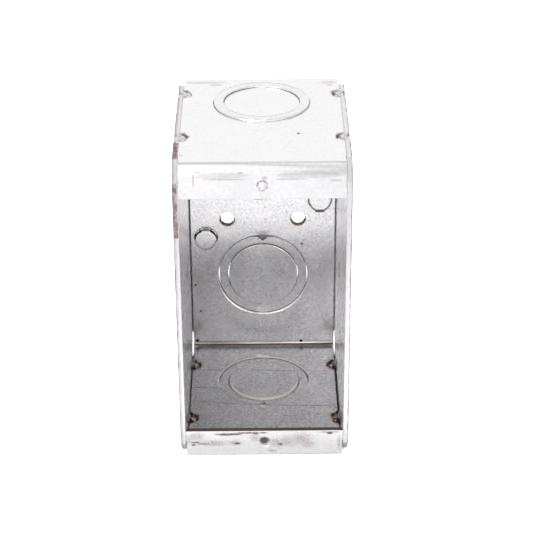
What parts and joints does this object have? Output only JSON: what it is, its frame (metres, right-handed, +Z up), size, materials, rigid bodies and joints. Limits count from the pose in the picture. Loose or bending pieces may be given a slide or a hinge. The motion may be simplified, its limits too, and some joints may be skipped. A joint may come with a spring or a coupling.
{
  "type": "single-gang masonry electrical box",
  "caption": "Deep open-fronted steel outlet box: a folded sheet wrap welded between flat side plates, with concentric knockouts, tapped front flanges and clipped corners.",
  "frame": {"origin": "middle of the footprint on the ground, with the box standing on the knockout ring of its lower end", "axes": "+Z up along the height, -Y out of the open front, X along the width"},
  "size_m": [0.0492, 0.064, 0.0962],
  "materials": {
    "galvanised_sheet": "galvanised sheet steel, finely mottled, stained and scuffed, rust-brown at the weld spots and cut edges"
  },
  "bodies": {
    "root": {"folded_wrap": "galvanised_sheet", "side_plate_left": "galvanised_sheet", "side_plate_right": "galvanised_sheet"}
  },
  "joints": []
}
